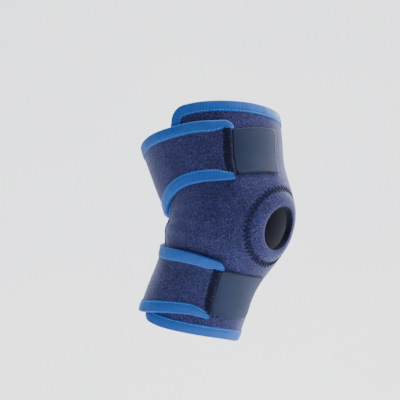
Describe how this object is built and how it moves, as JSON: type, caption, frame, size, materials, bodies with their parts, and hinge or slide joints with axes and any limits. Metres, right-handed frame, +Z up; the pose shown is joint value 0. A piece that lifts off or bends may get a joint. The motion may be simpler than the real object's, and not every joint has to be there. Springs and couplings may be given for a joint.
{
  "type": "knee brace",
  "caption": "Wrap-round open-patella knee brace: contoured soft panel with a kneecap hole, bound edges and two rear straps closed by hook tabs.",
  "frame": {"origin": "middle of the knee, on the axis the knee bends about, inside the hollow for the leg", "axes": "+Z up along the standing brace, -Y the front (kneecap side), -X the outer side of a right leg, +X the inner side"},
  "size_m": [0.1395, 0.1661, 0.2324],
  "materials": {
    "neoprene_fabric": "heathered navy brushed loop knit laminated to neoprene foam",
    "lining_fabric": "dark navy smooth jersey lining over foam",
    "edge_binding": "azure elastic edge binding tape, folded and topstitched",
    "dark_thread": "dark navy polyester sewing thread, zigzag",
    "tab_backing": "smooth matt slate-navy moulded tab with a fine cross grain",
    "hook_field": "moulded hooks"
  },
  "bodies": {
    "thigh": {"thigh_panel": "neoprene_fabric", "knee_panel": "neoprene_fabric", "patella_buttress": "lining_fabric", "patella_stitching": "dark_thread", "upper_wing": "neoprene_fabric", "upper_wing_seam": "dark_thread", "thigh_edge_binding": "edge_binding", "knee_outer_binding": "edge_binding", "knee_inner_binding": "edge_binding", "upper_popliteal_binding": "edge_binding"},
    "calf": {"calf_panel": "neoprene_fabric", "lower_wing": "neoprene_fabric", "lower_wing_seam": "dark_thread", "calf_edge_binding": "edge_binding", "lower_popliteal_binding": "edge_binding"},
    "upper_strap": {"upper_strap": "neoprene_fabric", "upper_strap_top_binding": "edge_binding", "upper_strap_foot_binding": "edge_binding", "upper_tab_stitching": "dark_thread", "upper_tab_tongue": "tab_backing"},
    "upper_tab": {"upper_tab": "tab_backing", "upper_tab_hooks": "hook_field"},
    "lower_strap": {"lower_strap": "neoprene_fabric", "lower_strap_top_binding": "edge_binding", "lower_strap_foot_binding": "edge_binding", "lower_tab_stitching": "dark_thread", "lower_tab_tongue": "tab_backing"},
    "lower_tab": {"lower_tab": "tab_backing", "lower_tab_hooks": "hook_field"}
  },
  "joints": [
    {"name": "knee_flex", "type": "hinge", "parent": "thigh", "child": "calf", "pos_m": [0, 0, 0], "axis": [1, 0, 0], "range_deg": [-40, 12], "stiffness_Nm_per_rad": 1.2, "deforming": ["knee_panel", "patella_buttress", "patella_stitching", "knee_outer_binding", "knee_inner_binding"]},
    {"name": "upper_strap_open", "type": "hinge", "parent": "thigh", "child": "upper_strap", "pos_m": [-0.02751, 0.07245, 0.03489], "axis": [0.0362, -0.3927, -0.919], "range_deg": [0, 50]},
    {"name": "upper_tab_peel", "type": "hinge", "parent": "upper_strap", "child": "upper_tab", "pos_m": [-0.04305, -0.04211, 0.05816], "axis": [-0.0165, -0.1375, -0.9904], "range_deg": [0, 70]},
    {"name": "lower_strap_open", "type": "hinge", "parent": "calf", "child": "lower_strap", "pos_m": [-0.02306, 0.07844, -0.05526], "axis": [0.0108, 0.4201, -0.9074], "range_deg": [0, 50]},
    {"name": "lower_tab_peel", "type": "hinge", "parent": "lower_strap", "child": "lower_tab", "pos_m": [-0.03412, -0.01295, -0.07661], "axis": [0.1622, 0.4311, -0.8876], "range_deg": [0, 70]}
  ]
}
